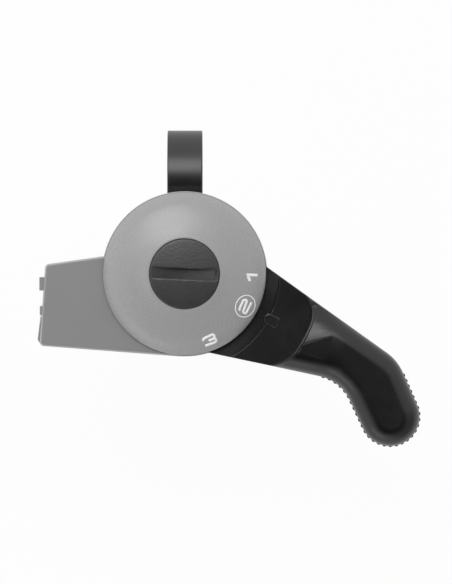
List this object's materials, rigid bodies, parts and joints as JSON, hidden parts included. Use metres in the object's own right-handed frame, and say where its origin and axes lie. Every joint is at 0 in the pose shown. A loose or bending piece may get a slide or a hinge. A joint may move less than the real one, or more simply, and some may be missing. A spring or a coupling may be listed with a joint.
{
  "type": "bicycle gear shifter",
  "caption": "Thumb shifter for a three-speed bicycle hub: domed dial with gear numbers, cable box, bent ribbed lever on a click-stop pivot and a strap clamp for the handlebar.",
  "frame": {"origin": "centre of the handlebar clamp's bore", "axes": "+X along the handlebar, away from the cable outlet; +Z out of the dial, parallel to the lever's pivot; the pivot stands at -Y of the bar"},
  "size_m": [0.1037, 0.0861, 0.0352],
  "materials": {
    "grey_moulding": "fine moulded grain",
    "silver_dial": "satin silver-grey",
    "black_moulding": "satin black",
    "black_steel": "satin black coating",
    "zinc_steel": "zinc plated",
    "spring_steel": "oiled spring steel",
    "bearing_steel": "polished",
    "brass": "turned",
    "drum_acetal": "natural acetal"
  },
  "bodies": {
    "housing": {"base_housing": "grey_moulding", "cable_cover": "grey_moulding", "dial_cover": "silver_dial", "centre_cap": "black_moulding", "pivot_screw": "zinc_steel", "lock_washer": "spring_steel", "pivot_washer": "zinc_steel", "pivot_bush": "zinc_steel", "pivot_insert": "brass", "index_plate": "zinc_steel", "wave_washer": "spring_steel", "clamp_strap": "black_steel", "clamp_bolt": "black_steel", "clamp_washer": "zinc_steel", "clamp_nut": "zinc_steel"},
    "lever": {"lever": "black_moulding", "cable_drum": "drum_acetal", "detent_balls": "bearing_steel", "detent_springs": "spring_steel", "slip_washer": "drum_acetal"}
  },
  "joints": [
    {"name": "lever_swing", "type": "hinge", "parent": "housing", "child": "lever", "pos_m": [0, -0.0266, 0.011], "axis": [0, 0, 1], "range_deg": [-41.1, 25.6]}
  ]
}
